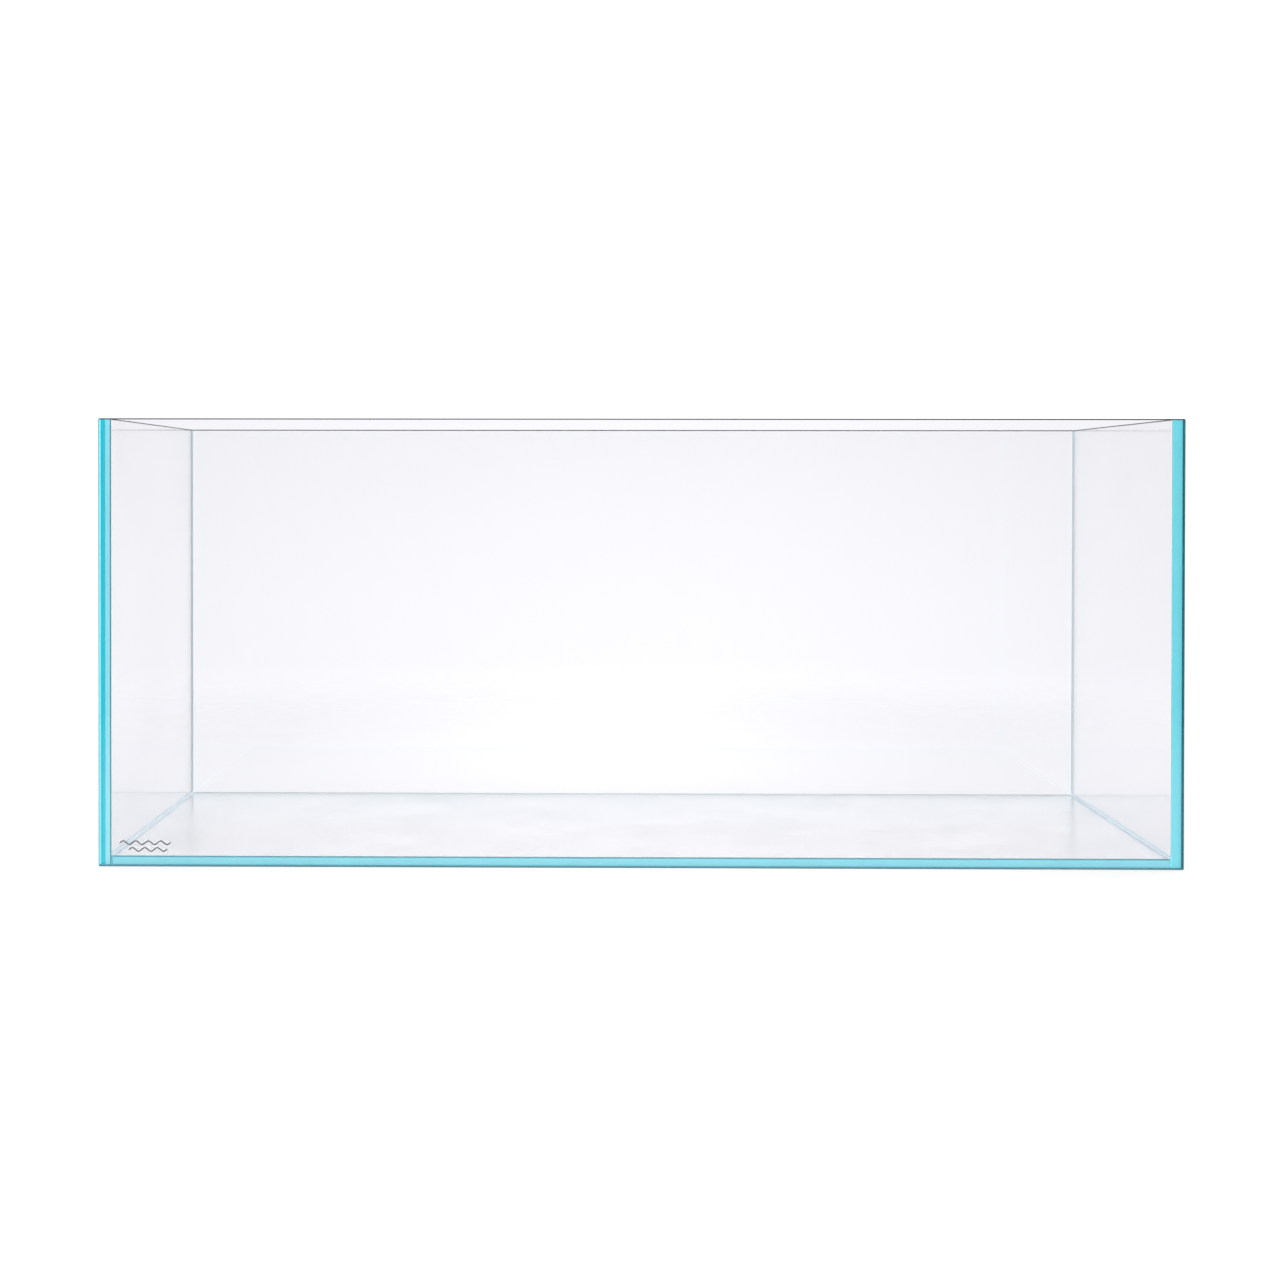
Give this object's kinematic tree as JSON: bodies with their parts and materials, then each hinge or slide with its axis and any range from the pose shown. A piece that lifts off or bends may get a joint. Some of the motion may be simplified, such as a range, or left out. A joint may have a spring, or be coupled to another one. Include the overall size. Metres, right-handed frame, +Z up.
{
  "type": "glass aquarium tank",
  "caption": "Rimless open-top aquarium tank of clear low-iron glass panes bonded with thin clear silicone seams, for fish, plants and water.",
  "frame": {"origin": "middle of the footprint, on the surface the tank stands on", "axes": "+X along the tank to the right as seen from the front, +Y from the front pane to the back pane, +Z up out of the open top"},
  "size_m": [1.2, 0.5001, 0.497],
  "materials": {
    "clear_glass": "polished low-iron float glass, flat polished edges with a small arris, pale cyan where looked at edgewise",
    "silicone": "cured clear silicone, smooth and slightly milky, pale blue-grey",
    "print": "matt dark grey screen print"
  },
  "bodies": {
    "root": {"front_pane": "clear_glass", "back_pane": "clear_glass", "left_pane": "clear_glass", "right_pane": "clear_glass", "base_pane": "clear_glass", "corner_seam_front_left": "silicone", "corner_seam_front_right": "silicone", "corner_seam_back_left": "silicone", "corner_seam_back_right": "silicone", "base_seam_front": "silicone", "base_seam_back": "silicone", "base_seam_left": "silicone", "base_seam_right": "silicone", "ripple_mark_upper": "print", "ripple_mark_lower": "print"}
  },
  "joints": []
}
